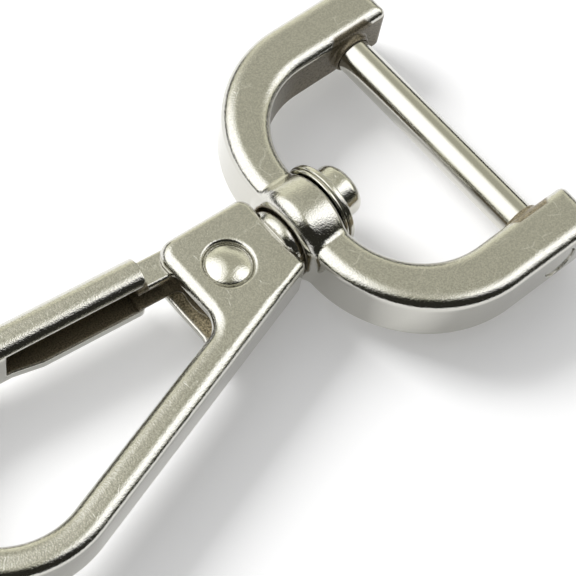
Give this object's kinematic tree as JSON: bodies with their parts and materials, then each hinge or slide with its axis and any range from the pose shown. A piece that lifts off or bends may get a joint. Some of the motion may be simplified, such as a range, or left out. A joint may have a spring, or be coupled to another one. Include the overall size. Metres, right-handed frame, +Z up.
{
  "type": "swivel snap hook",
  "caption": "Swivel snap hook with a sprung channel gate, joined by a turned stud to a flat D-ring with a cross bar for webbing.",
  "frame": {"origin": "middle of the bounding box in plan, at its lowest point, which is the bottom of the D-ring's barrel", "axes": "+X along the swivel axis from the hook's bowl to the D-ring, +Y towards the gate's side, +Z up, square to the flat faces"},
  "size_m": [0.0701, 0.0354, 0.0098],
  "materials": {
    "satin_nickel": "nickel plate, satin on the flat faces and brighter on the rounded edges",
    "bright_nickel": "bright nickel plate",
    "spring_steel": "drawn spring wire"
  },
  "bodies": {
    "hook": {"hook_body": "satin_nickel", "gate_rivet": "bright_nickel", "gate_spring": "spring_steel", "swivel_stud": "bright_nickel", "swivel_washer": "bright_nickel"},
    "ring": {"d_ring": "satin_nickel", "cross_bar": "bright_nickel"},
    "gate": {"gate": "satin_nickel"}
  },
  "joints": [
    {"name": "swivel", "type": "hinge", "parent": "hook", "child": "ring", "pos_m": [0.01086, 0, 0.0049], "axis": [1, 0, 0], "continuous": true},
    {"name": "gate_pivot", "type": "hinge", "parent": "hook", "child": "gate", "pos_m": [0.00386, 0, 0.0049], "axis": [0, 0, 1], "range_deg": [0, 28], "stiffness_Nm_per_rad": 0.08, "springref_deg": -28.65, "deforming": ["gate_spring"]}
  ]
}
